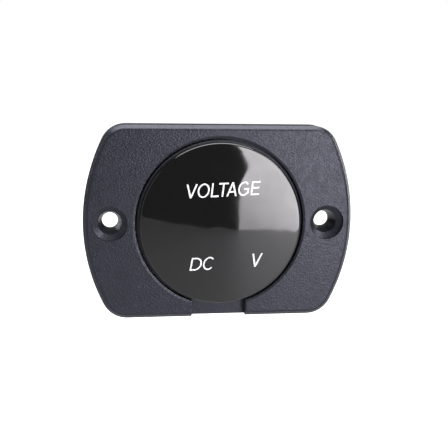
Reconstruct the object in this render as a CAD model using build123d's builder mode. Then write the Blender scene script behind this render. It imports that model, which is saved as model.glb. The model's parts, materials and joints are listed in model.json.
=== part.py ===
from build123d import *
import os
from math import atan2, radians, sin, sqrt, tan

# Round panel voltmeter for a battery, seated in a two-screw surface mounting plate.
#
# Frame, in millimetres: +Z is up and the face looks along -Y. The origin is on the
# meter's axis, midway between the two mounting screws, in the plane of the plate's
# back face, so that everything behind the panel surface has a positive Y.
#
# The plate is a moulded shell with a round seat for the meter's flange and a notch
# in its lower edge. The meter is a flanged threaded barrel with a smoked lens in
# front, a three-digit display and its circuit board inside, and a rear cap with two
# push-on blade terminals. A ring nut and a washer clamp it to the plate.

# ---------------------------------------------------------------- driving sizes

# Mounting plate
plate_half_width = 31.0
plate_half_height = 22.2
plate_end_radius = 42.5
plate_corner_radius = 6.0
plate_thickness = 6.4
plate_chamfer = 0.9
plate_edge_round = 0.8
plate_wall = 2.0
plate_skin = 2.2
plate_rib = 1.4
plate_rib_angles = (38, 142, 218, 322)
seat_radius = 19.4
seat_depth = 2.4
seat_lip = 0.5
lip_slope = 0.3
notch_width = 12.6
notch_lip = 0.3
screw_spacing = 50.0
screw_hole_radius = 1.85
screw_head_radius = 4.0
screw_head_depth = 1.2
screw_cone_radius = 2.7
screw_cone_angle = 27
screw_throat_depth = 4.0
boss_radius = 5.6
cup_wall = 1.8
clamp_step = 0.4
clamp_groove_depth = 1.5
clamp_ribs = 16
clamp_rib_width = 1.1

# Meter: flange, lens and threaded barrel
flange_radius = 19.0
flange_thickness = 1.95
flange_edge_round = 0.45
gasket_thickness = 0.38
adhesive_thickness = 0.15
lens_radius = 18.5
lens_rim_thickness = 1.4
lens_dome = 0.4
lens_edge_round = 0.5
barrel_end = 24.0
thread_pitch = 2.0
thread_turns = 13
thread_start = -3.2
thread_root_radius = 13.35
thread_crest_radius = 14.2
thread_root_width = 1.1
thread_crest_width = 0.5
thread_sink = 0.3
front_bore_radius = 12.2
rear_bore_radius = 11.2

# Display and circuit board
mask_radius = 14.8
mask_thickness = 0.6
display_width = 20.6
display_height = 9.8
display_depth = 6.0
display_foot = 0.8
display_foot_inset = 1.6
digit_height = 6.8
digit_width = 3.6
digit_spacing = 6.5
digit_lean = 8
digit_shift = -0.4
point_gap = 1.15
point_radius = 0.45
segment_width = 0.8
segment_gap = 0.12
segment_depth = 0.3
pin_columns = 6
pin_pitch = 2.54
pin_row_height = 3.81
pin_radius = 0.25
pin_stub = 1.1
solder_radius = 0.62
solder_height = 0.8
board_radius = 11.9
board_thickness = 1.6
board_screw_height = 9.4
board_screw_radius = 0.98
board_screw_head = 1.75
board_screw_head_height = 1.2
board_screw_length = 6.0
board_screw_bite = 5.2
cross_length = 1.9
cross_width = 0.4
cross_depth = 0.7
board_boss_radius = 2.1
lead_radius = 0.8
lead_exit = 4.7
lead_foot = -6.8
lead_tail = 5.0

# Clamping ring nut and its washer
nut_radius = 18.0
nut_height = 7.5
nut_ribs = 20
nut_rib_height = 0.9
nut_rib_width = 2.6
nut_rib_length = 2.0
nut_clearance = 0.25
washer_thickness = 0.8

# Rear cap, and the standard 6.3 x 0.8 blades
cap_lip = 1.8
cap_plug_depth = 3.5
cap_floor = 2.8
cap_wall = 1.8
cap_mark = 0.35
mark_size = 3.0
mark_width = 0.8
mark_height = 6.6
cap_rib_width = 1.0
cap_rib_length = 9.0
cap_rib_height = 2.6
blade_width = 6.3
blade_thickness = 0.8
blade_length = 8.0
blade_spacing = 10.0
blade_hole_radius = 0.9
blade_hole_inset = 3.6
blade_taper = 1.3
blade_tip_narrowing = 1.0
blade_shoulder = 0.9
blade_shoulder_depth = 1.2
tail_width = 2.5

# ---------------------------------------------------------------- derived places, along Y

plate_front = -plate_thickness
seat_floor = plate_front + seat_depth
clamp_face = -clamp_step
bore_radius = thread_crest_radius + 0.4
cup_radius = seat_radius + cup_wall
collar_radius = bore_radius + cup_wall
groove_radius = cup_radius - cup_wall
flange_back = seat_floor - gasket_thickness - 0.02
flange_front = flange_back - flange_thickness
lens_back = flange_front - adhesive_thickness
lens_rim_front = lens_back - lens_rim_thickness
mask_back = flange_front + mask_thickness + 0.05
display_front = flange_front + 0.1
display_back = display_front + display_depth
board_front = display_back + display_foot
board_back = board_front + board_thickness
washer_front = clamp_face + 0.05
nut_front = washer_front + washer_thickness + 0.05
cap_inner_face = barrel_end - cap_plug_depth
cap_outer_face = barrel_end + cap_lip
cap_floor_face = cap_outer_face - cap_floor
lead_end = cap_floor_face - 4.5


def front_plane(y):
    """A sketch plane across the axis at depth y that faces the front: its x is X, its y is Z."""
    return Plane(origin=(0, y, 0), x_dir=(1, 0, 0), z_dir=(0, -1, 0))


def rear_plane(y):
    """A sketch plane across the axis at depth y that faces the rear: its x is -X, its y is Z."""
    return Plane(origin=(0, y, 0), x_dir=(-1, 0, 0), z_dir=(0, 1, 0))


def side_plane(x):
    """A sketch plane at x that faces +X: its x is Y, its y is Z."""
    return Plane(origin=(x, 0, 0), x_dir=(0, 1, 0), z_dir=(1, 0, 0))


def helical_ridge(root_radius, crest_radius, root_width, crest_width, start, length):
    """A right-handed thread ridge about +Y that begins above the axis at y = start."""
    rise = crest_radius - root_radius
    flare = (root_width - crest_width) / 2 / rise * thread_sink
    with BuildPart() as ridge:
        with BuildLine() as helix:
            Helix(thread_pitch, length, root_radius, center=(0, start, 0), direction=(0, 1, 0))
        begin = helix.line @ 0
        outward = Vector(begin.X, 0, begin.Z).normalized()
        with BuildSketch(Plane(origin=begin, x_dir=outward, z_dir=helix.line % 0)):
            with BuildLine():
                Polyline(
                    (-thread_sink, -root_width / 2 - flare),
                    (rise, -crest_width / 2),
                    (rise, crest_width / 2),
                    (-thread_sink, root_width / 2 + flare),
                    close=True,
                )
            make_face()
        sweep(is_frenet=True)
    return ridge.part


os.makedirs("parts", exist_ok=True)

# ---------------------------------------------------------------- mounting plate

# Straight top and bottom, bowed ends and round corners.
end_centre = plate_half_width - plate_end_radius
corner_x = end_centre + sqrt(plate_end_radius**2 - plate_half_height**2)
with BuildSketch() as plate_outline:
    with BuildLine():
        Line((-corner_x, plate_half_height), (corner_x, plate_half_height))
        ThreePointArc(
            (corner_x, plate_half_height),
            (plate_half_width, 0),
            (corner_x, -plate_half_height),
        )
        Line((corner_x, -plate_half_height), (-corner_x, -plate_half_height))
        ThreePointArc(
            (-corner_x, -plate_half_height),
            (-plate_half_width, 0),
            (-corner_x, plate_half_height),
        )
    make_face()
    fillet(plate_outline.vertices(), plate_corner_radius)

screw_x = screw_spacing / 2
cone_start = plate_front + screw_head_depth
cone_end = cone_start + (screw_head_radius - screw_cone_radius) * tan(radians(screw_cone_angle))
throat_end = cone_start + screw_throat_depth
with BuildPart() as mounting_plate:
    with BuildSketch(front_plane(0)):
        add(plate_outline.sketch)
    extrude(amount=plate_thickness)
    front_edges = mounting_plate.edges().group_by(Axis.Y)[0]
    chamfer(front_edges, plate_chamfer)
    fillet(mounting_plate.edges().group_by(Axis.Y)[0], plate_edge_round)
    # The seat for the meter's flange, and the notch that opens it downwards.
    with BuildSketch(front_plane(seat_floor)):
        Circle(seat_radius)
        with Locations((0, -plate_half_height)):
            Rectangle(notch_width, plate_half_height)
    extrude(amount=seat_depth, mode=Mode.SUBTRACT)
    lip_edges = mounting_plate.edges().filter_by(
        lambda e: abs(e.center().Y - plate_front) < 1e-3
        and e.geom_type == GeomType.CIRCLE
        and abs(e.radius - seat_radius) < 1e-3
    )
    plate_face = mounting_plate.faces().sort_by(Axis.Y)[0]
    chamfer(lip_edges, seat_lip, seat_lip * lip_slope, reference=plate_face)
    notch_edges = mounting_plate.edges().filter_by(
        lambda e: abs(e.center().Y - plate_front) < 1e-3 and abs(abs(e.center().X) - notch_width / 2) < 1e-3
    )
    plate_face = mounting_plate.faces().sort_by(Axis.Y)[0]
    chamfer(notch_edges, notch_lip, notch_lip * lip_slope, reference=plate_face)
    # The bore for the barrel.
    with BuildSketch(front_plane(0)):
        Circle(bore_radius)
    extrude(amount=plate_thickness, mode=Mode.SUBTRACT)
    # Cored back: a face skin, outer walls, a cup round the seat, screw bosses and ribs.
    with BuildSketch(front_plane(0)) as back_pockets:
        add(plate_outline.sketch)
        offset(amount=-plate_wall)
        Circle(cup_radius, mode=Mode.SUBTRACT)
        with Locations((screw_x, 0), (-screw_x, 0)):
            Circle(boss_radius, mode=Mode.SUBTRACT)
        for angle in plate_rib_angles:
            with Locations(Rot(0, 0, angle) * Pos(plate_half_width / 2, 0)):
                Rectangle(plate_half_width, plate_rib, mode=Mode.SUBTRACT)
    extrude(amount=plate_thickness - plate_skin, mode=Mode.SUBTRACT)
    # The clamping ring stands a little below the back plane and is ribbed.
    with BuildSketch(front_plane(0)):
        Circle(cup_radius)
    extrude(amount=clamp_step, mode=Mode.SUBTRACT)
    with BuildSketch(front_plane(clamp_face)):
        Circle(groove_radius)
        Circle(collar_radius, mode=Mode.SUBTRACT)
        with PolarLocations((groove_radius + collar_radius) / 2, clamp_ribs):
            Rectangle(2 * (groove_radius - collar_radius), clamp_rib_width, mode=Mode.SUBTRACT)
    extrude(amount=clamp_groove_depth, mode=Mode.SUBTRACT)
    # Screw holes: a straight wall, a shallow cone for the head, and a throat that narrows to the shank.
    for x in (-screw_x, screw_x):
        with BuildSketch(Plane(origin=(x, 0, 0))):
            with BuildLine():
                Polyline(
                    (0, plate_front - 1),
                    (screw_head_radius, plate_front - 1),
                    (screw_head_radius, cone_start),
                    (screw_cone_radius, cone_end),
                    (screw_hole_radius, throat_end),
                    (screw_hole_radius, 1),
                    (0, 1),
                    close=True,
                )
            make_face()
        revolve(axis=Axis((x, 0, 0), (0, 1, 0)), mode=Mode.SUBTRACT)
mounting_plate.part.label = "mounting_plate"
export_step(mounting_plate.part, "parts/mounting_plate.step")

# ---------------------------------------------------------------- meter housing

# The barrel's thread is swept first, and runs out into the barrel at both ends.
with BuildPart() as barrel_thread:
    add(
        helical_ridge(
            thread_root_radius,
            thread_crest_radius,
            thread_root_width,
            thread_crest_width,
            thread_start,
            thread_turns * thread_pitch,
        )
    )
    with BuildSketch(Plane.XY):
        with BuildLine():
            Polyline(
                (0, thread_start - 0.6),
                (thread_root_radius - 0.15, thread_start - 0.6),
                (thread_crest_radius + 0.3, thread_start + 1.0),
                (thread_crest_radius + 0.3, barrel_end - 1.9),
                (thread_root_radius - 0.35, barrel_end - 0.2),
                (0, barrel_end - 0.2),
                close=True,
            )
        make_face()
    revolve(axis=Axis.Y, mode=Mode.INTERSECT)

with BuildPart() as meter_housing:
    with BuildSketch(front_plane(barrel_end)):
        Circle(thread_root_radius)
    extrude(amount=barrel_end - flange_back)
    chamfer(meter_housing.edges().group_by(Axis.Y)[-1], 0.5)
    add(barrel_thread.part)
    # The flange, with a seat for the light mask in its front.
    with BuildSketch(front_plane(flange_back)):
        Circle(flange_radius)
    extrude(amount=flange_thickness)
    fillet(meter_housing.edges().group_by(Axis.Y)[0], flange_edge_round)
    with BuildSketch(front_plane(mask_back)):
        Circle(mask_radius + 0.05)
    extrude(amount=mask_back - flange_front, mode=Mode.SUBTRACT)
    # A wide bore holds the display and its board, a narrower one the space behind.
    with BuildSketch(front_plane(board_back)):
        Circle(front_bore_radius)
    extrude(amount=board_back - flange_front, mode=Mode.SUBTRACT)
    with BuildSketch(front_plane(barrel_end)):
        Circle(rear_bore_radius)
    extrude(amount=barrel_end - board_back, mode=Mode.SUBTRACT)
    # Two bosses on the narrow bore's wall take the board's screws.
    with BuildSketch(front_plane(board_back + board_screw_length)):
        with Locations((0, board_screw_height), (0, -board_screw_height)):
            Circle(board_boss_radius)
        Circle(rear_bore_radius + 0.5, mode=Mode.INTERSECT)
    extrude(amount=board_screw_length)
    with BuildSketch(front_plane(board_back + board_screw_bite)):
        with Locations((0, board_screw_height), (0, -board_screw_height)):
            Circle(board_screw_radius + 0.02)
    extrude(amount=board_screw_bite, mode=Mode.SUBTRACT)
meter_housing.part.label = "meter_housing"
export_step(meter_housing.part, "parts/meter_housing.step")

# ---------------------------------------------------------------- rings at the flange

with BuildPart() as flange_gasket:
    with BuildSketch(front_plane(flange_back + gasket_thickness)):
        Circle(flange_radius - 0.6)
        Circle(thread_crest_radius + 0.5, mode=Mode.SUBTRACT)
    extrude(amount=gasket_thickness)
flange_gasket.part.label = "flange_gasket"
export_step(flange_gasket.part, "parts/flange_gasket.step")

with BuildPart() as lens_adhesive_ring:
    with BuildSketch(front_plane(flange_front)):
        Circle(lens_radius - 0.5)
        Circle(mask_radius + 0.4, mode=Mode.SUBTRACT)
    extrude(amount=adhesive_thickness)
lens_adhesive_ring.part.label = "lens_adhesive_ring"
export_step(lens_adhesive_ring.part, "parts/lens_adhesive_ring.step")

# ---------------------------------------------------------------- front lens

# A disc with a shallow domed face, turned about the meter's axis.
dome_edge = lens_radius - lens_edge_round
with BuildPart() as front_lens:
    with BuildSketch(Plane.XY):
        with BuildLine():
            Line((0, lens_back), (lens_radius, lens_back))
            Line((lens_radius, lens_back), (lens_radius, lens_rim_front + lens_edge_round))
            RadiusArc(
                (lens_radius, lens_rim_front + lens_edge_round),
                (dome_edge, lens_rim_front),
                lens_edge_round,
            )
            SagittaArc((dome_edge, lens_rim_front), (-dome_edge, lens_rim_front), lens_dome)
            Line((-dome_edge, lens_rim_front), (0, lens_back))
        make_face()
        with Locations((lens_radius, 0)):
            Rectangle(2 * lens_radius, 40, mode=Mode.INTERSECT)
    revolve(axis=Axis.Y)
front_lens.part.label = "front_lens"
export_step(front_lens.part, "parts/front_lens.step")

# ---------------------------------------------------------------- light mask

with BuildPart() as light_mask:
    with BuildSketch(front_plane(mask_back)):
        Circle(mask_radius)
        RectangleRounded(display_width + 0.3, display_height + 0.3, 0.4, mode=Mode.SUBTRACT)
    extrude(amount=mask_thickness)
light_mask.part.label = "light_mask"
export_step(light_mask.part, "parts/light_mask.step")

# ---------------------------------------------------------------- three-digit display


def leaning(x, z):
    """A point of an upright digit, moved sideways so that the digit leans to the right."""
    return (x + z * sin(radians(digit_lean)), z)


def segment(x, z, half_length, upright):
    """One bar of a digit: a long hexagon centred on x, z."""
    half = segment_width / 2
    outline = (
        (-half_length, 0),
        (half - half_length, half),
        (half_length - half, half),
        (half_length, 0),
        (half_length - half, -half),
        (half - half_length, -half),
    )
    if upright:
        points = [leaning(x + across, z + along) for along, across in outline]
    else:
        points = [leaning(x + along, z + across) for along, across in outline]
    with BuildSketch() as bar:
        with BuildLine():
            Polyline(*points, close=True)
        make_face()
    return bar.sketch


digit_half_height = digit_height / 2
half_bar = digit_half_height / 2 - segment_gap
flat_bar = digit_width / 2 - segment_gap
with BuildSketch() as lit_areas:
    for digit in (-1, 0, 1):
        middle = digit * digit_spacing + digit_shift
        for level in (-1, 0, 1):
            add(segment(middle, level * digit_half_height, flat_bar, False))
        for side in (-1, 1):
            for level in (-1, 1):
                x = middle + side * digit_width / 2
                add(segment(x, level * digit_half_height / 2, half_bar, True))
        with Locations(leaning(middle + digit_width / 2 + point_gap, -digit_half_height)):
            Circle(point_radius)

with BuildPart() as display_module:
    with BuildSketch(front_plane(display_back)):
        RectangleRounded(display_width, display_height, 0.3)
    extrude(amount=display_depth)
    with BuildSketch(front_plane(display_front + segment_depth)):
        add(lit_areas.sketch)
    extrude(amount=segment_depth, mode=Mode.SUBTRACT)
    # Four feet hold the block off its board.
    with BuildSketch(front_plane(board_front)):
        with GridLocations(
            display_width - 2 * display_foot_inset, display_height - 2 * display_foot_inset, 2, 2
        ):
            Circle(display_foot)
    extrude(amount=board_front - display_back)
display_module.part.label = "display_module"
export_step(display_module.part, "parts/display_module.step")

with BuildPart() as display_segments:
    with BuildSketch(front_plane(display_front + segment_depth)):
        add(lit_areas.sketch)
    extrude(amount=segment_depth)
display_segments.part.label = "display_segments"
export_step(display_segments.part, "parts/display_segments.step")

with BuildPart() as display_pins:
    with BuildSketch(front_plane(board_back + pin_stub)):
        with GridLocations(pin_pitch, 2 * pin_row_height, pin_columns, 2):
            Circle(pin_radius)
    extrude(amount=board_back + pin_stub - display_back)
display_pins.part.label = "display_pins"
export_step(display_pins.part, "parts/display_pins.step")

# ---------------------------------------------------------------- circuit board

with BuildPart() as display_board:
    with BuildSketch(front_plane(board_back)):
        Circle(board_radius)
        with Locations((0, board_screw_height), (0, -board_screw_height)):
            Circle(board_screw_radius + 0.1, mode=Mode.SUBTRACT)
        with GridLocations(pin_pitch, 2 * pin_row_height, pin_columns, 2):
            Circle(pin_radius + 0.2, mode=Mode.SUBTRACT)
    extrude(amount=board_thickness)
display_board.part.label = "display_board"
export_step(display_board.part, "parts/display_board.step")

# A cone of solder round each pin, behind the board.
with BuildPart() as solder_joints:
    with Locations(rear_plane(board_back)):
        with GridLocations(pin_pitch, 2 * pin_row_height, pin_columns, 2):
            Cone(
                solder_radius,
                pin_radius + 0.1,
                solder_height,
                align=(Align.CENTER, Align.CENTER, Align.MIN),
            )
    with BuildSketch(rear_plane(board_back)):
        with GridLocations(pin_pitch, 2 * pin_row_height, pin_columns, 2):
            Circle(pin_radius)
    extrude(amount=solder_height, mode=Mode.SUBTRACT)
solder_joints.part.label = "solder_joints"
export_step(solder_joints.part, "parts/solder_joints.step")

with BuildPart() as board_screws:
    with BuildSketch(front_plane(board_front)):
        with Locations((0, board_screw_height), (0, -board_screw_height)):
            Circle(board_screw_head)
    extrude(amount=board_screw_head_height)
    fillet(board_screws.edges().group_by(Axis.Y)[0], 0.5)
    with BuildSketch(front_plane(board_front - board_screw_head_height + cross_depth)):
        with Locations((0, board_screw_height), (0, -board_screw_height)):
            Rectangle(cross_length, cross_width)
            Rectangle(cross_width, cross_length)
    extrude(amount=cross_depth, mode=Mode.SUBTRACT)
    with BuildSketch(rear_plane(board_front)):
        with Locations((0, board_screw_height), (0, -board_screw_height)):
            Circle(board_screw_radius)
    extrude(amount=board_screw_length)
    chamfer(board_screws.edges().group_by(Axis.Y)[-1], 0.25)
board_screws.part.label = "board_screws"
export_step(board_screws.part, "parts/board_screws.step")

# ---------------------------------------------------------------- parts behind the board

# All of them stand on the board's rear face. Their places are X, Z pairs.


def on_board(places):
    """Locations on the board's rear face, for X, Z pairs."""
    return [rear_plane(board_back).location * Pos(-x, z, 0) for x, z in places]


standing = (Align.CENTER, Align.CENTER, Align.MIN)

# The controller: a moulded body with eight gull-wing leads on each side.
chip_length = 9.9
chip_width = 3.9
chip_height = 1.4
chip_stand_off = 0.1
chip_span = 6.0
chip_pitch = 1.27
chip_lead_foot = 0.6
chip_lead_rise = 0.7
chip_lead_width = 0.4
chip_lead_thickness = 0.2
with BuildPart() as controller_chip:
    with Locations(on_board([(0, 0)])):
        with Locations((0, 0, chip_stand_off)):
            Box(chip_length, chip_width, chip_height, align=standing)
    chamfer(controller_chip.edges().group_by(Axis.Y)[-1], 0.2)
    with BuildSketch(Plane.XY, mode=Mode.PRIVATE) as lead_outline:
        tip = chip_span / 2
        heel = tip - chip_lead_foot
        root = chip_width / 2 - 0.1
        under = board_back + chip_lead_rise
        for side in (-1, 1):
            with BuildLine():
                Polyline(
                    (board_back, side * tip),
                    (board_back, side * heel),
                    (under, side * (heel - 0.15)),
                    (under, side * root),
                    (under + chip_lead_thickness, side * root),
                    (under + chip_lead_thickness, side * (heel + 0.05)),
                    (board_back + chip_lead_thickness, side * (heel + 0.2)),
                    (board_back + chip_lead_thickness, side * tip),
                    close=True,
                )
            make_face()
    for column in range(8):
        with BuildSketch(side_plane((column - 3.5) * chip_pitch - chip_lead_width / 2)):
            add(lead_outline.sketch)
        extrude(amount=chip_lead_width)
controller_chip.part.label = "controller_chip"
export_step(controller_chip.part, "parts/controller_chip.step")

# The regulator: a small power package with a wide tab above and three legs below.
regulator_place = (-5.0, 6.4)
regulator_width = 4.5
regulator_depth = 2.4
regulator_height = 1.5
regulator_tab = 1.7
regulator_leg = 0.5
regulator_leg_pitch = 1.5
leg_row = (regulator_depth + regulator_leg) / 2 - 0.1
with BuildPart() as voltage_regulator:
    with Locations(on_board([regulator_place])):
        Box(regulator_width, regulator_depth, regulator_height, align=standing)
        with Locations((0, leg_row, 0)):
            Box(regulator_tab, regulator_leg, 0.4, align=standing)
        with Locations([(leg * regulator_leg_pitch, -leg_row, 0) for leg in (-1, 0, 1)]):
            Box(regulator_leg, regulator_leg, 0.4, align=standing)
    chamfer(voltage_regulator.edges().group_by(Axis.Y)[-1], 0.15)
voltage_regulator.part.label = "voltage_regulator"
export_step(voltage_regulator.part, "parts/voltage_regulator.step")

# The protection diode: a block with a flat tab folded under each end.
diode_place = (5.2, 6.3)
diode_length = 4.3
diode_width = 2.6
diode_height = 2.0
diode_tab_thickness = 0.2
with BuildPart() as protection_diode:
    with Locations(on_board([diode_place])):
        with Locations((0, 0, diode_tab_thickness)):
            Box(diode_length, diode_width, diode_height, align=standing)
        with Locations((-1.9, 0, 0), (1.9, 0, 0)):
            Box(1.3, 1.5, diode_tab_thickness, align=standing)
    chamfer(protection_diode.edges().group_by(Axis.Y)[-1], 0.2)
protection_diode.part.label = "protection_diode"
export_step(protection_diode.part, "parts/protection_diode.step")

# Surface mounted resistors and capacitors share one outline and stand upright.
chip_part_width = 1.25
chip_part_length = 2.0
resistor_height = 0.5
capacitor_height = 1.1
resistor_places = [(-1.3, 5.8), (1.3, 5.8), (-2.6, -6.0), (-0.8, -6.0), (0.8, -6.0), (2.6, -6.0)]
with BuildPart() as chip_resistors:
    with Locations(on_board(resistor_places)):
        Box(chip_part_width, chip_part_length, resistor_height, align=standing)
chip_resistors.part.label = "chip_resistors"
export_step(chip_resistors.part, "parts/chip_resistors.step")

capacitor_places = [(-8.5, 4.2), (8.5, 4.2), (-8.5, -4.2), (8.5, -4.2)]
with BuildPart() as chip_capacitors:
    with Locations(on_board(capacitor_places)):
        Box(chip_part_width, chip_part_length, capacitor_height, align=standing)
chip_capacitors.part.label = "chip_capacitors"
export_step(chip_capacitors.part, "parts/chip_capacitors.step")

# The smoothing capacitor: a can with a rolled groove near its foot and a recessed top.
can_place = 8.3
can_radius = 2.4
can_height = 6.0
can_edge = 0.2
can_groove = 0.3
can_groove_height = 1.2
can_rim = 0.6
can_top = board_back + can_height
groove = board_back + can_groove_height
with BuildPart() as electrolytic_capacitor:
    with BuildSketch(Plane(origin=(can_place, 0, 0))):
        with BuildLine():
            Polyline(
                (0, board_back),
                (can_radius - can_edge, board_back),
                (can_radius, board_back + can_edge),
                (can_radius, groove - can_groove),
                (can_radius - can_groove, groove),
                (can_radius, groove + can_groove),
                (can_radius, can_top - can_edge),
                (can_radius - can_edge, can_top),
                (can_radius - can_rim, can_top),
                (can_radius - can_rim - 0.1, can_top - 0.1),
                (0, can_top - 0.1),
                close=True,
            )
        make_face()
    revolve(axis=Axis((can_place, 0, 0), (0, 1, 0)))
electrolytic_capacitor.part.label = "electrolytic_capacitor"
export_step(electrolytic_capacitor.part, "parts/electrolytic_capacitor.step")

# The calibration trimmer: a square body with a slotted round adjuster.
trimmer_place = (-8.4, 0)
trimmer_width = 3.4
trimmer_length = 3.6
trimmer_height = 1.3
adjuster_radius = 1.2
adjuster_height = 0.5
adjuster_slot = 0.4
with BuildPart() as trimmer:
    with Locations(on_board([trimmer_place])):
        Box(trimmer_width, trimmer_length, trimmer_height, align=standing)
        with Locations((0, 0, trimmer_height)):
            Cylinder(adjuster_radius, adjuster_height, align=standing)
        with Locations((0, 0, trimmer_height + adjuster_height - 0.3)):
            Box(1.5 * adjuster_radius, adjuster_slot, adjuster_slot, align=standing, mode=Mode.SUBTRACT)
trimmer.part.label = "trimmer"
export_step(trimmer.part, "parts/trimmer.step")

# ---------------------------------------------------------------- rear cap and terminals

with BuildPart() as rear_cap:
    with BuildSketch(front_plane(cap_outer_face)):
        Circle(thread_root_radius - 0.15)
    extrude(amount=cap_lip)
    chamfer(rear_cap.edges().group_by(Axis.Y)[-1], 0.6)
    with BuildSketch(front_plane(barrel_end)):
        Circle(rear_bore_radius - 0.03)
    extrude(amount=cap_plug_depth)
    with BuildSketch(front_plane(cap_floor_face)):
        Circle(rear_bore_radius - cap_wall)
    extrude(amount=cap_floor_face - cap_inner_face, mode=Mode.SUBTRACT)
    # A rib between the blades, and a plus and a minus beside them.
    with BuildSketch(rear_plane(cap_outer_face)):
        Rectangle(cap_rib_width, cap_rib_length)
    extrude(amount=cap_rib_height)
    fillet(rear_cap.edges().group_by(Axis.Y)[-1].filter_by(Axis.Z), 0.3)
    with BuildSketch(rear_plane(cap_outer_face)):
        with Locations((-blade_spacing / 2, mark_height)):
            Rectangle(mark_size, mark_width)
            Rectangle(mark_width, mark_size)
        with Locations((blade_spacing / 2, mark_height)):
            Rectangle(mark_size, mark_width)
    extrude(amount=cap_mark)
    with BuildSketch(front_plane(cap_outer_face)):
        with Locations((-blade_spacing / 2, 0), (blade_spacing / 2, 0)):
            Rectangle(blade_thickness, blade_width)
    extrude(amount=cap_floor, mode=Mode.SUBTRACT)
rear_cap.part.label = "rear_cap"
export_step(rear_cap.part, "parts/rear_cap.step")


def blade(x):
    """A push-on blade at x: the tapered tip outside, a shoulder and a solder tail inside."""
    tip = cap_outer_face + blade_length
    taper = tip - blade_taper
    step = cap_floor_face - blade_shoulder_depth
    half = blade_width / 2
    tip_half = half - blade_tip_narrowing
    wide = half + blade_shoulder
    tail = tail_width / 2
    with BuildPart() as terminal:
        with BuildSketch(side_plane(x - blade_thickness / 2)):
            with BuildLine():
                Polyline(
                    (lead_end, -tail),
                    (step, -tail),
                    (step, -wide),
                    (cap_floor_face, -wide),
                    (cap_floor_face, -half),
                    (taper, -half),
                    (tip, -tip_half),
                    (tip, tip_half),
                    (taper, half),
                    (cap_floor_face, half),
                    (cap_floor_face, wide),
                    (step, wide),
                    (step, tail),
                    (lead_end, tail),
                    close=True,
                )
            make_face()
            with Locations((tip - blade_hole_inset, 0)):
                Circle(blade_hole_radius, mode=Mode.SUBTRACT)
        extrude(amount=blade_thickness)
        chamfer(terminal.edges().group_by(Axis.Y)[-1].filter_by(Axis.Z), 0.25)
    return terminal.part


# Each bend of the inner wires is as large as its two straight runs allow.
lead_rise = lead_end - lead_tail - board_back - lead_exit
lead_turn = atan2(-lead_foot, lead_rise)
lead_bend = 0.45 * lead_exit / tan(lead_turn / 2)
print(f"inner wire bend radius {lead_bend:.1f} mm")


def inner_lead(x):
    """The insulated wire from the board, below the chip, up to the tail of the blade at x."""
    with BuildPart() as lead:
        with BuildLine() as route:
            FilletPolyline(
                (x, board_back, lead_foot),
                (x, board_back + lead_exit, lead_foot),
                (x, lead_end - lead_tail, 0),
                (x, lead_end, 0),
                radius=lead_bend,
            )
        with BuildSketch(Plane(origin=route.line @ 0, x_dir=(1, 0, 0), z_dir=route.line % 0)):
            Circle(lead_radius)
        sweep()
    return lead.part


for side, sign in ((1, "positive"), (-1, "negative")):
    terminal = blade(side * blade_spacing / 2)
    terminal.label = f"{sign}_terminal"
    export_step(terminal, f"parts/{sign}_terminal.step")
    lead = inner_lead(side * blade_spacing / 2)
    lead.label = f"{sign}_lead"
    export_step(lead, f"parts/{sign}_lead.step")

# ---------------------------------------------------------------- washer and ring nut

with BuildPart() as rear_washer:
    with BuildSketch(front_plane(washer_front + washer_thickness)):
        Circle(nut_radius - 0.4)
        Circle(thread_crest_radius + 0.3, mode=Mode.SUBTRACT)
    extrude(amount=washer_thickness)
rear_washer.part.label = "rear_washer"
export_step(rear_washer.part, "parts/rear_washer.step")

# The nut's groove is the barrel's ridge with some clearance, in step with it at rest.
nut_groove = helical_ridge(
    thread_root_radius,
    thread_crest_radius + nut_clearance,
    thread_root_width + 0.5,
    thread_crest_width + 0.3,
    thread_start + thread_pitch,
    nut_height + 2 * thread_pitch,
)
with BuildPart() as ring_nut:
    with BuildSketch(front_plane(nut_front + nut_height)):
        Circle(nut_radius - nut_rib_height)
        with PolarLocations(nut_radius - nut_rib_length / 2, nut_ribs):
            RectangleRounded(nut_rib_length, nut_rib_width, 0.6)
    extrude(amount=nut_height)
    chamfer(ring_nut.edges().group_by(Axis.Y)[-1], 0.3)
    with BuildSketch(front_plane(nut_front + nut_height)):
        Circle(thread_root_radius + nut_clearance)
    extrude(amount=nut_height, mode=Mode.SUBTRACT)
    add(nut_groove, mode=Mode.SUBTRACT)
ring_nut.part.label = "ring_nut"
export_step(ring_nut.part, "parts/ring_nut.step")
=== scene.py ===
"""Looks for a round panel voltmeter in a two-screw surface mounting plate.

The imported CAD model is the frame. Its shapes are kept and get procedural finishes. Only the lens
is turned again here, in finer steps, and the printed legend is added to it.
Every size is in metres, in the CAD frame: +Z up, the lens faces -Y.
"""

import json
import math

import bmesh
import bpy
from mathutils import Matrix, Vector


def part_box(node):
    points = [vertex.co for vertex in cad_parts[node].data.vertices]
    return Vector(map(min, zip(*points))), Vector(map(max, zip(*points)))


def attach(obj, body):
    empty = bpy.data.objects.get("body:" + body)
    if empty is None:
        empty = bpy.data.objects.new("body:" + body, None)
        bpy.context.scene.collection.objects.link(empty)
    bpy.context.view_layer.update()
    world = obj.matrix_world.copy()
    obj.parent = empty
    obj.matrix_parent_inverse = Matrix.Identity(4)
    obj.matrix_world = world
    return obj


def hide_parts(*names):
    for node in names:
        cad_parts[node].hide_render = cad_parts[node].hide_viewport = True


MM = 0.001

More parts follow.
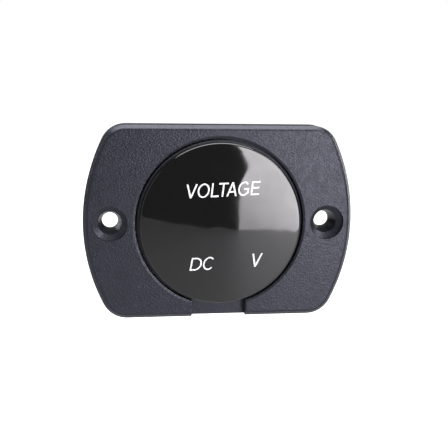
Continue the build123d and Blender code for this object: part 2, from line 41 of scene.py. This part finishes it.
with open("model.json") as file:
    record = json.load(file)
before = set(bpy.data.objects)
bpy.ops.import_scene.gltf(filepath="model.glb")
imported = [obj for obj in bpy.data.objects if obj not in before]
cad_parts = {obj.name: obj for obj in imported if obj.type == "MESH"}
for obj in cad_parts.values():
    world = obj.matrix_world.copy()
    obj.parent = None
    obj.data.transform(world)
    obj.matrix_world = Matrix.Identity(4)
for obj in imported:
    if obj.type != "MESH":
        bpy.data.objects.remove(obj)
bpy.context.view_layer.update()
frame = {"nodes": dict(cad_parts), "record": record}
nodes = frame["nodes"]
plate_low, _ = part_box("mounting_plate")
lens_low, lens_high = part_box("front_lens")
scene = bpy.context.scene


# ------------------------------------------------------------------ shader building

# Fractal noise runs from 0 to 1, but seldom leaves this middle part.
NOISE_LOW = 0.3
NOISE_HIGH = 0.7


class Finish:
    """One procedural material, built node by node around a Principled shader.

    Its own colour and roughness hold where no node takes over from them.
    """

    def __init__(self, name, colour, roughness, metallic=0.0, ior=1.5):
        self.material = bpy.data.materials.new(name)
        self.material.use_nodes = True
        self.tree = self.material.node_tree
        self.shader = self.tree.nodes["Principled BSDF"]
        self.shader.inputs["Base Color"].default_value = (*colour, 1.0)
        self.shader.inputs["Roughness"].default_value = roughness
        self.shader.inputs["Metallic"].default_value = metallic
        self.shader.inputs["IOR"].default_value = ior
        self.place = self.tree.nodes.new("ShaderNodeTexCoord").outputs["Object"]
        self.normal = None

    def set(self, **values):
        """Sets the Principled shader's own sockets. An underscore in a name stands for a space."""
        for name, value in values.items():
            self.shader.inputs[name.replace("_", " ")].default_value = value

    def link(self, source, socket):
        """Feeds a node's output to one of the Principled shader's sockets."""
        self.tree.links.new(source, self.shader.inputs[socket])

    def stretched(self, x, y, z):
        """The object's coordinates, scaled unevenly. A small scale draws features out."""
        mapping = self.tree.nodes.new("ShaderNodeMapping")
        mapping.inputs["Scale"].default_value = (x, y, z)
        self.tree.links.new(self.place, mapping.inputs["Vector"])
        return mapping.outputs["Vector"]

    def noise(self, size, detail=2.0, rough=0.5, place=None):
        """Fractal noise whose features are about size metres across, from 0 to 1."""
        node = self.tree.nodes.new("ShaderNodeTexNoise")
        node.inputs["Scale"].default_value = 1.0 / size
        node.inputs["Detail"].default_value = detail
        node.inputs["Roughness"].default_value = rough
        self.tree.links.new(place or self.place, node.inputs["Vector"])
        return node.outputs["Fac"]

    def cells(self, size, place=None):
        """Distance to the nearest of many scattered points, size metres apart."""
        node = self.tree.nodes.new("ShaderNodeTexVoronoi")
        node.inputs["Scale"].default_value = 1.0 / size
        self.tree.links.new(place or self.place, node.inputs["Vector"])
        return node.outputs["Distance"]

    def spread(self, noise, low, high):
        """Maps the middle part of a noise to low..high, clamped."""
        node = self.tree.nodes.new("ShaderNodeMapRange")
        node.inputs["From Min"].default_value = NOISE_LOW
        node.inputs["From Max"].default_value = NOISE_HIGH
        node.inputs["To Min"].default_value = low
        node.inputs["To Max"].default_value = high
        self.tree.links.new(noise, node.inputs["Value"])
        return node.outputs["Result"]

    def blend_colours(self, value, first, second, low=0.35, high=0.65):
        """A colour between first and second, as value goes from low to high."""
        node = self.tree.nodes.new("ShaderNodeValToRGB")
        node.color_ramp.elements[0].position = low
        node.color_ramp.elements[0].color = (*first, 1.0)
        node.color_ramp.elements[1].position = high
        node.color_ramp.elements[1].color = (*second, 1.0)
        self.tree.links.new(value, node.inputs["Fac"])
        return node.outputs["Color"]

    def mottle(self, first, second, size):
        """Colour that drifts between first and second."""
        self.link(self.blend_colours(self.noise(size, 3.0), first, second), "Base Color")

    def vary_roughness(self, low, high, size):
        """Roughness that drifts between low and high."""
        self.link(self.spread(self.noise(size, 3.0), low, high), "Roughness")

    def relief(self, height, depth):
        """Adds height, 0 to 1 for depth metres, to the surface's bump."""
        node = self.tree.nodes.new("ShaderNodeBump")
        node.inputs["Distance"].default_value = depth
        self.tree.links.new(height, node.inputs["Height"])
        if self.normal is not None:
            self.tree.links.new(self.normal, node.inputs["Normal"])
        self.normal = node.outputs["Normal"]
        self.link(self.normal, "Normal")


# ------------------------------------------------------------------ finishes

# The blue-black mouldings reflect a little less red and green than blue.
BLUISH = (0.83, 0.84, 1.0, 1.0)


def moulded_plastic(name, dark, light, roughness, grain=0.3 * MM):
    """Spark-eroded mould grain: fine uneven pits, with a slow drift of tone and polish."""
    pit_depth = 0.034 * MM
    finish = Finish(name, dark, roughness)
    finish.mottle(dark, light, 3.5 * MM)
    finish.vary_roughness(roughness - 0.05, roughness + 0.06, 1.2 * MM)
    finish.relief(finish.noise(grain, 3.0, 0.6), pit_depth)
    finish.relief(finish.cells(grain * 1.7), pit_depth * 0.8)
    return finish


def plate_finish():
    dark = (0.0076, 0.0081, 0.0114)
    light = (0.01, 0.0105, 0.0147)
    finish = moulded_plastic("plate_plastic_grain", dark, light, 0.35)
    finish.set(Specular_IOR_Level=0.36, Specular_Tint=BLUISH)
    return finish.material


def housing_finish():
    dark = (0.012, 0.012, 0.014)
    light = (0.017, 0.017, 0.02)
    finish = moulded_plastic("housing_plastic_grain", dark, light, 0.48)
    finish.set(Specular_IOR_Level=0.27, Specular_Tint=BLUISH)
    return finish.material


def cap_finish():
    dark = (0.017, 0.017, 0.018)
    light = (0.024, 0.024, 0.026)
    return moulded_plastic("cap_plastic_grain", dark, light, 0.5, grain=0.4 * MM).material


def nut_finish():
    """Glass-filled nylon: short fibres just show as streaks in the skin."""
    dark = (0.018, 0.018, 0.019)
    light = (0.028, 0.028, 0.03)
    finish = moulded_plastic("nut_nylon_grain", dark, light, 0.52)
    streaks = finish.noise(0.35 * MM, 4.0, 0.7, finish.stretched(1.0, 0.25, 1.0))
    finish.relief(streaks, 0.012 * MM)
    return finish.material


def lens_finish():
    """Polished smoked acrylic: nearly opaque, with the faint waviness of a moulded face."""
    finish = Finish("lens_smoked_gloss", (0.003, 0.003, 0.0031), 0.035, ior=1.49)
    finish.vary_roughness(0.025, 0.06, 6 * MM)
    finish.relief(finish.noise(8 * MM, 1.0, 0.4), 0.035 * MM)
    return finish.material


def mottled_finish(name, first, second, roughness, drift, grain, depth, detail=3.0, rough=0.5):
    """Colour that drifts between first and second, over a fine even grain."""
    finish = Finish(name, first, roughness)
    finish.mottle(first, second, drift)
    finish.relief(finish.noise(grain, detail, rough), depth)
    return finish.material


def adhesive_finish():
    """Cured clear adhesive, lumpy where it was pressed out."""
    finish = Finish("clear_adhesive_cured", (0.5, 0.47, 0.4), 0.25)
    finish.mottle((0.45, 0.42, 0.34), (0.58, 0.55, 0.48), 1.5 * MM)
    finish.relief(finish.cells(0.8 * MM), 0.01 * MM)
    return finish.material


def film_finish():
    """Flat black film of one colour, uneven only in its sheen."""
    finish = Finish("mask_film_flat", (0.012, 0.012, 0.012), 0.75)
    finish.vary_roughness(0.68, 0.82, 1.0 * MM)
    finish.relief(finish.noise(0.12 * MM), 0.004 * MM)
    return finish.material


def segment_finish():
    """Milky diffuser resin that lets a little light into itself."""
    finish = Finish("segment_diffuser", (0.7, 0.66, 0.6), 0.35)
    finish.set(Subsurface_Weight=0.3, Subsurface_Radius=(0.4 * MM, 0.3 * MM, 0.2 * MM))
    finish.mottle((0.64, 0.6, 0.54), (0.76, 0.72, 0.67), 0.6 * MM)
    return finish.material


def metal_finish(name, first, second, roughness, streak=(1.0, 1.0, 1.0), size=0.4 * MM):
    """Bare or plated metal. Its marks are drawn out along the axes that streak scales down."""
    finish = Finish(name, first, roughness, metallic=1.0)
    marks = finish.noise(size, 4.0, 0.6, finish.stretched(*streak))
    finish.link(finish.blend_colours(marks, first, second), "Base Color")
    finish.link(finish.spread(marks, roughness - 0.06, roughness + 0.1), "Roughness")
    finish.relief(marks, 0.006 * MM)
    return finish.material


def board_finish():
    """Solder mask over laminate, uneven in long patches like the tracks under it."""
    finish = Finish("board_solder_mask", (0.02, 0.16, 0.06), 0.32)
    tracks = finish.cells(1.6 * MM, finish.stretched(1.0, 0.2, 1.0))
    pale = (0.03, 0.2, 0.08)
    deep = (0.012, 0.12, 0.045)
    finish.link(finish.blend_colours(tracks, pale, deep, 0.3, 0.45), "Base Color")
    finish.relief(tracks, 0.03 * MM)
    return finish.material


def insulation_finish(name, first, second):
    """Soft extruded wire covering, with faint marks along its length."""
    finish = Finish(name, first, 0.45)
    finish.mottle(first, second, 1.0 * MM)
    finish.relief(finish.noise(0.3 * MM, 3.0, 0.5, finish.stretched(1.0, 0.1, 1.0)), 0.01 * MM)
    return finish.material


def dress(slot_finishes):
    """Gives each CAD node the finish of its record slot."""
    for row in frame["record"]["subparts"]:
        node = nodes[row["node"]]
        node.data.materials.clear()
        node.data.materials.append(slot_finishes[row["material_slot"]])


# ------------------------------------------------------------------ lens

LENS_DOME = 0.4 * MM
LENS_EDGE = 0.5 * MM
LENS_BEVEL = 0.1 * MM
LENS_STEPS = 180
DOME_RINGS = 24
EDGE_RINGS = 8
LENS_SHARP = math.radians(40)
lens_radius = (lens_high.z - lens_low.z) / 2
dome_reach = lens_radius - LENS_EDGE
dome_ball = (dome_reach**2 + LENS_DOME**2) / (2 * LENS_DOME)


def lens_face(distance):
    """The lens face's y at some distance from the axis: a shallow dome."""
    return lens_low.y + dome_ball - math.sqrt(dome_ball**2 - distance**2)


def lens_section():
    """The lens's half section as (radius, y): dome, rounded edge, side and bevelled back."""
    section = []
    for ring in range(1, DOME_RINGS + 1):
        radius = dome_reach * ring / DOME_RINGS
        section.append((radius, lens_face(radius)))
    rim = lens_face(dome_reach)
    for ring in range(1, EDGE_RINGS + 1):
        angle = math.radians(90 * ring / EDGE_RINGS)
        radius = dome_reach + LENS_EDGE * math.sin(angle)
        section.append((radius, rim + LENS_EDGE * (1 - math.cos(angle))))
    section.append((lens_radius, lens_high.y - LENS_BEVEL))
    section.append((lens_radius - LENS_BEVEL, lens_high.y))
    return section


def polished_lens():
    """The lens, turned from its section in fine steps so that reflections run smoothly."""
    turns = [2 * math.pi * step / LENS_STEPS for step in range(LENS_STEPS)]
    work = bmesh.new()
    pole = work.verts.new((0, lens_face(0), 0))
    back = work.verts.new((0, lens_high.y, 0))
    rings = []
    for radius, y in lens_section():
        points = [(radius * math.cos(turn), y, radius * math.sin(turn)) for turn in turns]
        rings.append([work.verts.new(point) for point in points])
    for step in range(LENS_STEPS):
        after = (step + 1) % LENS_STEPS
        work.faces.new((pole, rings[0][step], rings[0][after]))
        work.faces.new((back, rings[-1][after], rings[-1][step]))
        for inner, outer in zip(rings, rings[1:]):
            work.faces.new((inner[step], outer[step], outer[after], inner[after]))
    bmesh.ops.recalc_face_normals(work, faces=work.faces[:])
    mesh = bpy.data.meshes.new("smoked_lens")
    work.to_mesh(mesh)
    work.free()
    mesh.shade_smooth()
    mesh.set_sharp_from_angle(angle=LENS_SHARP)
    lens = bpy.data.objects.new("smoked_lens", mesh)
    scene.collection.objects.link(lens)
    mesh.materials.append(lens_finish())
    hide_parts("front_lens")
    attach(lens, "meter")


# ------------------------------------------------------------------ printed legend

# The capitals are drawn as outlines, 1 high, with their left edge at 0. FLAT_STROKE is the top
# and foot of a round letter, BAR_STROKE the bar of an A or G, and SLANTED_HALF half of a slanted
# stroke, measured level. Round letters stand a little over and under the others.
STROKE = 0.112
FLAT_STROKE = STROKE * 0.92
BAR_STROKE = STROKE * 0.9
SLANTED_HALF = STROKE * 0.54
LETTER_MIDDLE = 0.5
ROUND_HALF = 0.515
BAR_HEIGHT = 0.53
BOW_STEPS = 28


def bow(middle, radius_x, radius_y, start, end):
    """Points along an ellipse at the letter's mid height, from start to end degrees."""
    span = end - start
    turns = [math.radians(start + span * step / BOW_STEPS) for step in range(BOW_STEPS + 1)]
    return [
        (middle + radius_x * math.cos(turn), LETTER_MIDDLE + radius_y * math.sin(turn))
        for turn in turns
    ]


def hollow_bow(width, start, end):
    """The outer and inner curve of a round letter."""
    middle = width / 2
    outer = bow(middle, middle, ROUND_HALF, start, end)
    inner = bow(middle, middle - STROKE, ROUND_HALF - FLAT_STROKE, start, end)
    return outer, inner


def letter_v(width):
    middle = width / 2
    notch = SLANTED_HALF / (middle - SLANTED_HALF)
    return [
        [
            (0, 1),
            (middle - SLANTED_HALF, 0),
            (middle + SLANTED_HALF, 0),
            (width, 1),
            (width - 2 * SLANTED_HALF, 1),
            (middle, notch),
            (2 * SLANTED_HALF, 1),
        ]
    ]


def letter_a(width):
    middle = width / 2
    bar_low = 0.27
    bar_high = bar_low + BAR_STROKE
    apex = 1 - SLANTED_HALF / (middle - SLANTED_HALF)

    def inner(height):
        return 2 * SLANTED_HALF + (middle - SLANTED_HALF) * height

    outline = [
        (0, 0),
        (middle - SLANTED_HALF, 1),
        (middle + SLANTED_HALF, 1),
        (width, 0),
        (width - 2 * SLANTED_HALF, 0),
        (width - inner(bar_low), bar_low),
        (inner(bar_low), bar_low),
        (2 * SLANTED_HALF, 0),
    ]
    hole = [(inner(bar_high), bar_high), (width - inner(bar_high), bar_high), (middle, apex)]
    return [outline, hole]


def letter_l(width):
    return [[(0, 0), (width, 0), (width, STROKE), (STROKE, STROKE), (STROKE, 1), (0, 1)]]


def letter_t(width):
    left = (width - STROKE) / 2
    right = (width + STROKE) / 2
    under = 1 - STROKE
    return [
        [
            (0, 1),
            (0, under),
            (left, under),
            (left, 0),
            (right, 0),
            (right, under),
            (width, under),
            (width, 1),
        ]
    ]


def letter_e(width):
    low = BAR_HEIGHT - STROKE / 2
    high = BAR_HEIGHT + STROKE / 2
    arm = width * 0.94
    return [
        [
            (0, 0),
            (width, 0),
            (width, STROKE),
            (STROKE, STROKE),
            (STROKE, low),
            (arm, low),
            (arm, high),
            (STROKE, high),
            (STROKE, 1 - STROKE),
            (width, 1 - STROKE),
            (width, 1),
            (0, 1),
        ]
    ]


def letter_o(width):
    last = 360 - 360 / (BOW_STEPS + 1)
    return list(hollow_bow(width, 0, last))


def letter_c(width):
    outer, inner = hollow_bow(width, 42, 318)
    return [outer + inner[::-1]]


def letter_d(width):
    middle = width * 0.42
    reach = width - middle
    outer = bow(middle, reach, LETTER_MIDDLE, -90, 90)
    inner = bow(middle, reach - STROKE, LETTER_MIDDLE - FLAT_STROKE, -90, 90)
    hole = [(STROKE, FLAT_STROKE)] + inner + [(STROKE, 1 - FLAT_STROKE)]
    return [[(0, 0)] + outer + [(0, 1)], hole]


def letter_g(width):
    outer, inner = hollow_bow(width, 40, 302)
    side = width * 0.97
    tongue = width * 0.53
    outer_foot = 0.19
    inner_foot = 0.24
    spur = [
        (side, outer_foot),
        (side, BAR_HEIGHT),
        (tongue, BAR_HEIGHT),
        (tongue, BAR_HEIGHT - BAR_STROKE),
        (side - STROKE, BAR_HEIGHT - BAR_STROKE),
        (side - STROKE, inner_foot),
    ]
    return [outer + spur + inner[::-1]]


# The words as letters: each one's shape, width and left edge, in capital heights.
VOLTAGE = (
    (letter_v, 0.80, 0.0),
    (letter_o, 0.86, 0.85),
    (letter_l, 0.58, 1.84),
    (letter_t, 0.70, 2.34),
    (letter_a, 0.76, 2.97),
    (letter_g, 0.82, 3.79),
    (letter_e, 0.62, 4.74),
)
DC = ((letter_d, 0.86, 0.0), (letter_c, 0.88, 0.96))
V = ((letter_v, 0.78, 0.0),)

# Edges longer than PRINT_FACET are split, so that the print follows the dome. Points closer
# than SAME_POINT, in capital heights, become one.
PRINT_TILT = math.radians(2.6)
PRINT_THICKNESS = 0.02 * MM
PRINT_FACET = 0.4 * MM
SAME_POINT = 1e-5


def flat_word(name, letters):
    """A flat mesh of the letters, in capital heights."""
    curve = bpy.data.curves.new(name, "CURVE")
    curve.dimensions = "2D"
    curve.fill_mode = "BOTH"
    for shape, width, left in letters:
        for outline in shape(width):
            spline = curve.splines.new("POLY")
            spline.points.add(len(outline) - 1)
            for point, (x, y) in zip(spline.points, outline):
                point.co = (left + x, y, 0.0, 1.0)
            spline.use_cyclic_u = True
    source = bpy.data.objects.new(name + "_outline", curve)
    scene.collection.objects.link(source)
    bpy.context.view_layer.update()
    filled = source.evaluated_get(bpy.context.evaluated_depsgraph_get())
    mesh = bpy.data.meshes.new_from_object(filled)
    bpy.data.objects.remove(source)
    return mesh


def in_fixed_order(work):
    """The mesh's points and faces in an order that is the same each run.

    The operators on a BMesh keep the shape the same each run, but not the order.
    """
    points = sorted(tuple(v.co) for v in work.verts)
    numbers = {point: number for number, point in enumerate(points)}
    faces = []
    for face in work.faces:
        loop = [numbers[tuple(v.co)] for v in face.verts]
        first = loop.index(min(loop))
        faces.append(loop[first:] + loop[:first])
    return points, sorted(faces)


def printed_word(name, letters, ink, height, centre, slant):
    """Letters printed on the lens, as a thin mesh that follows its dome."""
    flat_mesh = flat_word(name, letters)
    length = letters[-1][1] + letters[-1][2]
    turn = Matrix.Rotation(PRINT_TILT, 2)
    work = bmesh.new()
    work.from_mesh(flat_mesh)
    bpy.data.meshes.remove(flat_mesh)
    bmesh.ops.remove_doubles(work, verts=work.verts[:], dist=SAME_POINT)
    long_edges = [e for e in work.edges if e.calc_length() * height > PRINT_FACET]
    bmesh.ops.subdivide_edges(work, edges=long_edges, cuts=2)
    face = bmesh.ops.extrude_face_region(work, geom=work.faces[:])
    raised = {v for v in face["geom"] if isinstance(v, bmesh.types.BMVert)}
    for v in work.verts:
        upright = v.co.y - LETTER_MIDDLE
        flat = Vector((v.co.x - length / 2 + slant * upright, upright)) * height
        flat = turn @ (flat + Vector(centre))
        lift = PRINT_THICKNESS if v in raised else -PRINT_THICKNESS / 2
        v.co = (flat.x, lens_face(flat.length) - lift, flat.y)
    bmesh.ops.recalc_face_normals(work, faces=work.faces[:])
    points, faces = in_fixed_order(work)
    work.free()
    mesh = bpy.data.meshes.new(name)
    mesh.from_pydata(points, [], faces)
    mesh.materials.append(ink)
    piece = bpy.data.objects.new(name, mesh)
    scene.collection.objects.link(piece)
    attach(piece, "meter")


# ------------------------------------------------------------------ camera


def direction(azimuth, elevation):
    """A unit vector out from the object. Azimuth 0 is in front of the lens, 90 towards +X."""
    a = math.radians(azimuth)
    e = math.radians(elevation)
    return Vector((math.sin(a) * math.cos(e), -math.cos(a) * math.cos(e), math.sin(e)))


def place_camera():
    """A short telephoto, a little left of and above the plate's axis, held 1 degree off level."""
    target = Vector((0.05 * MM, plate_low.y, -1.58 * MM))
    outward = direction(-7.85, 11.46)
    distance = 173.74 * MM
    roll = math.radians(0.93)
    data = bpy.data.cameras.new("camera")
    data.sensor_width = 36.0
    data.lens = 61.03
    data.shift_x = 0.008
    data.shift_y = 0.0138
    data.clip_start = 0.01
    data.clip_end = 20.0
    camera = bpy.data.objects.new("camera", data)
    scene.collection.objects.link(camera)
    camera.location = target + outward * distance
    camera.rotation_mode = "QUATERNION"
    level = (-outward).to_track_quat("-Z", "Y")
    camera.rotation_quaternion = level @ Matrix.Rotation(roll, 3, "Z").to_quaternion()
    scene.camera = camera


# ------------------------------------------------------------------ floor, light and room

# The pale table. Its front edge turns a corner at the light panel's foot, between two bends.
FLOOR_DROP = -0.12
FLOOR_GLOW = 0.08
FLOOR_REACH = 2.5
FLOOR_CORNER = (0.106, -0.562)
FLOOR_LEFT_BEND = (-1.3, -1.73)
FLOOR_RIGHT_BEND = (0.6, -0.48)

# The light panel stands on that corner and runs off to the right. PANEL_CLIMB is how fast its
# light grows per metre: from PANEL_FOOT of full strength at the corner, to full at a climb of 1.
PANEL_RADIANCE = 13.6
PANEL_FOOT = 0.42
PANEL_CLIMB = Vector((6.6, 0.0, 8.8))
PANEL_WIDTH = 0.22
PANEL_HEIGHT = 0.24
PANEL_RUN = Vector((0.98, 0.19, 0.0))
CLOUD_SCALE = 30.0
CLOUD_LOW = 0.9
CLOUD_HIGH = 1.1

# The bow of the panel's near edge: how deep, at what height and over what height.
FOLD_DEPTH = 0.014
FOLD_HEIGHT = -0.019
FOLD_SPREAD = 0.015
FOLD_STEPS = 32

ROOM_GLOW = 0.16

# Each softbox's name, azimuth and elevation in degrees, distance, width, height and radiance.
SOFTBOXES = (
    ("key_high", 43, 26, 1.0, 0.35, 0.35, 13.0),
    ("side_right", 122, 8, 1.3, 0.6, 0.9, 8.0),
    ("low_right", 110, -8, 0.6, 0.17, 0.055, 8.0),
    ("side_left", -50, 10, 1.2, 0.25, 0.9, 2.0),
    ("top", 0, 80, 1.0, 1.3, 0.8, 7.0),
    ("back", 180, 74, 1.2, 1.4, 0.8, 3.0),
    ("back_left", -124, 15, 1.4, 0.7, 0.9, 7.0),
)


def softbox(name, azimuth, elevation, distance, width, height, radiance):
    """A rectangular light that faces the object."""
    data = bpy.data.lights.new(name, "AREA")
    data.shape = "RECTANGLE"
    data.size = width
    data.size_y = height
    data.energy = radiance * math.pi * width * height
    light = bpy.data.objects.new(name, data)
    scene.collection.objects.link(light)
    outward = direction(azimuth, elevation)
    light.location = outward * distance
    light.rotation_mode = "QUATERNION"
    light.rotation_quaternion = (-outward).to_track_quat("-Z", "Y")


def stage_sheet(name, corners, material):
    """A flat piece of the set with the given corners."""
    mesh = bpy.data.meshes.new(name)
    mesh.from_pydata(corners, [], [tuple(range(len(corners)))])
    mesh.materials.append(material)
    sheet = bpy.data.objects.new(name, mesh)
    scene.collection.objects.link(sheet)


def white_to_camera(tree, socket, glow):
    """Full white where the camera sees it, and only glow for everything that it lights."""
    rays = tree.nodes.new("ShaderNodeLightPath")
    level = tree.nodes.new("ShaderNodeMapRange")
    level.inputs["To Min"].default_value = glow
    level.inputs["To Max"].default_value = 1.0
    tree.links.new(rays.outputs["Is Camera Ray"], level.inputs["Value"])
    tree.links.new(level.outputs["Result"], socket)


def pale_floor():
    """A pale table under and behind the object."""
    finish = Finish("floor_pale", (0.34, 0.34, 0.35), 0.45)
    finish.mottle((0.32, 0.32, 0.33), (0.36, 0.36, 0.37), 0.4)
    finish.set(Emission_Color=(1, 1, 1, 1))
    white_to_camera(finish.tree, finish.shader.inputs["Emission Strength"], FLOOR_GLOW)
    outline = [
        FLOOR_LEFT_BEND,
        FLOOR_CORNER,
        FLOOR_RIGHT_BEND,
        (FLOOR_REACH, FLOOR_RIGHT_BEND[1]),
        (FLOOR_REACH, FLOOR_REACH),
        (-FLOOR_REACH, FLOOR_REACH),
        (-FLOOR_REACH, FLOOR_LEFT_BEND[1]),
    ]
    stage_sheet("floor", [(x, y, FLOOR_DROP) for x, y in outline], finish.material)


def panel_glow(corner):
    """Light that is strongest at the panel's top far corner, and a little cloudy."""
    material = bpy.data.materials.new("light_panel_glow")
    material.use_nodes = True
    tree = material.node_tree
    tree.nodes.remove(tree.nodes["Principled BSDF"])
    place = tree.nodes.new("ShaderNodeTexCoord").outputs["Object"]
    climb = tree.nodes.new("ShaderNodeVectorMath")
    climb.operation = "DOT_PRODUCT"
    climb.inputs[1].default_value = PANEL_CLIMB
    foot = PANEL_CLIMB.dot(corner)
    ramp = tree.nodes.new("ShaderNodeMapRange")
    ramp.inputs["From Min"].default_value = foot
    ramp.inputs["From Max"].default_value = foot + 1.0
    ramp.inputs["To Min"].default_value = PANEL_FOOT * PANEL_RADIANCE
    ramp.inputs["To Max"].default_value = PANEL_RADIANCE
    cloud = tree.nodes.new("ShaderNodeTexNoise")
    cloud.inputs["Scale"].default_value = CLOUD_SCALE
    veil = tree.nodes.new("ShaderNodeMapRange")
    veil.inputs["From Min"].default_value = NOISE_LOW
    veil.inputs["From Max"].default_value = NOISE_HIGH
    veil.inputs["To Min"].default_value = CLOUD_LOW
    veil.inputs["To Max"].default_value = CLOUD_HIGH
    strength = tree.nodes.new("ShaderNodeMath")
    strength.operation = "MULTIPLY"
    glow = tree.nodes.new("ShaderNodeEmission")
    glow.inputs["Color"].default_value = (0.99, 0.96, 1.0, 1.0)
    tree.links.new(place, climb.inputs[0])
    tree.links.new(climb.outputs["Value"], ramp.inputs["Value"])
    tree.links.new(place, cloud.inputs["Vector"])
    tree.links.new(cloud.outputs["Fac"], veil.inputs["Value"])
    tree.links.new(ramp.outputs["Result"], strength.inputs[0])
    tree.links.new(veil.outputs["Result"], strength.inputs[1])
    tree.links.new(strength.outputs["Value"], glow.inputs["Strength"])
    tree.links.new(glow.outputs["Emission"], tree.nodes["Material Output"].inputs["Surface"])
    return material


def light_panel():
    """The key light: an upright glowing panel on the floor's edge, right of the lens.

    Its near edge bows in at one height.
    """
    corner = Vector((*FLOOR_CORNER, FLOOR_DROP))
    far_foot = corner + PANEL_RUN * PANEL_WIDTH
    rise = Vector((0.0, 0.0, PANEL_HEIGHT))
    corners = [corner, far_foot, far_foot + rise]
    for step in range(FOLD_STEPS, 0, -1):
        point = corner + rise * step / FOLD_STEPS
        fold = FOLD_DEPTH * math.exp(-(((point.z - FOLD_HEIGHT) / FOLD_SPREAD) ** 2))
        corners.append(point + PANEL_RUN * fold)
    stage_sheet("light_panel", corners, panel_glow(corner))


def room():
    """White where the camera looks past the floor, dim for everything that it lights."""
    world = bpy.data.worlds.new("room")
    world.use_nodes = True
    tree = world.node_tree
    scene.world = world
    background = tree.nodes["Background"]
    background.inputs["Color"].default_value = (1.0, 1.0, 1.0, 1.0)
    white_to_camera(tree, background.inputs["Strength"], ROOM_GLOW)


# ------------------------------------------------------------------ the scene

dress(
    {
        "plate_plastic": plate_finish(),
        "housing_plastic": housing_finish(),
        "lens_smoked": lens_finish(),
        "gasket_rubber": mottled_finish(
            "gasket_rubber_matt",
            (0.015, 0.015, 0.015),
            (0.028, 0.028, 0.027),
            roughness=0.8,
            drift=0.8 * MM,
            grain=0.2 * MM,
            depth=0.015 * MM,
        ),
        "clear_adhesive": adhesive_finish(),
        "mask_black": film_finish(),
        "display_grey": mottled_finish(
            "display_block_grey",
            (0.085, 0.085, 0.085),
            (0.115, 0.115, 0.118),
            roughness=0.5,
            drift=1.5 * MM,
            grain=0.2 * MM,
            depth=0.008 * MM,
        ),
        "segment_milky": segment_finish(),
        "tinned_pin": metal_finish(
            "tinned_pin_drawn", (0.7, 0.69, 0.66), (0.8, 0.79, 0.76), 0.28, (1, 0.2, 1)
        ),
        "board_green": board_finish(),
        "solder": metal_finish("solder_bright", (0.66, 0.66, 0.65), (0.78, 0.78, 0.77), 0.2),
        "chip_epoxy": mottled_finish(
            "chip_epoxy_matt",
            (0.018, 0.018, 0.02),
            (0.03, 0.03, 0.032),
            roughness=0.6,
            drift=0.5 * MM,
            grain=0.08 * MM,
            depth=0.006 * MM,
        ),
        "resistor_body": mottled_finish(
            "resistor_glaze",
            (0.03, 0.03, 0.034),
            (0.07, 0.07, 0.075),
            roughness=0.3,
            drift=0.4 * MM,
            grain=0.1 * MM,
            depth=0.004 * MM,
            detail=2.0,
        ),
        "capacitor_body": mottled_finish(
            "capacitor_ceramic",
            (0.36, 0.25, 0.16),
            (0.5, 0.37, 0.25),
            roughness=0.45,
            drift=0.5 * MM,
            grain=0.1 * MM,
            depth=0.006 * MM,
        ),
        "can_aluminium": metal_finish(
            "can_drawn", (0.74, 0.74, 0.75), (0.84, 0.84, 0.85), 0.3, (1, 0.1, 1)
        ),
        "trimmer_body": mottled_finish(
            "trimmer_blue",
            (0.018, 0.075, 0.3),
            (0.03, 0.11, 0.42),
            roughness=0.4,
            drift=0.8 * MM,
            grain=0.15 * MM,
            depth=0.006 * MM,
        ),
        "screw_steel": metal_finish("screw_zinc", (0.55, 0.56, 0.58), (0.68, 0.68, 0.7), 0.3),
        "lead_red": insulation_finish("lead_red_pvc", (0.45, 0.012, 0.012), (0.56, 0.02, 0.018)),
        "lead_black": insulation_finish(
            "lead_black_pvc", (0.016, 0.016, 0.016), (0.026, 0.026, 0.026)
        ),
        "cap_plastic": cap_finish(),
        "terminal_brass": metal_finish(
            "terminal_tin_plate",
            (0.66, 0.65, 0.62),
            (0.78, 0.77, 0.73),
            0.3,
            (1, 0.15, 1),
            size=0.5 * MM,
        ),
        "washer_fibre": mottled_finish(
            "washer_fibre_pressed",
            (0.035, 0.035, 0.036),
            (0.075, 0.073, 0.07),
            roughness=0.78,
            drift=0.5 * MM,
            grain=0.25 * MM,
            depth=0.03 * MM,
            detail=4.0,
            rough=0.7,
        ),
        "nut_plastic": nut_finish(),
    }
)

polished_lens()
white = mottled_finish(
    "legend_ink_white",
    (0.62, 0.62, 0.64),
    (0.82, 0.82, 0.83),
    roughness=0.4,
    drift=0.35 * MM,
    grain=0.15 * MM,
    depth=0.004 * MM,
    detail=2.0,
)
printed_word(
    "legend_voltage", VOLTAGE, white, height=3.12 * MM, centre=(0.62 * MM, 8.0 * MM), slant=0.16
)
printed_word(
    "legend_dc", DC, white, height=2.95 * MM, centre=(-4.57 * MM, -8.78 * MM), slant=0.22
)
printed_word(
    "legend_unit", V, white, height=3.1 * MM, centre=(7.85 * MM, -8.69 * MM), slant=0.22
)

place_camera()
pale_floor()
light_panel()
room()
for box in SOFTBOXES:
    softbox(*box)
# Colours are shown as they are, without film-like toning.
scene.view_settings.view_transform = "Standard"
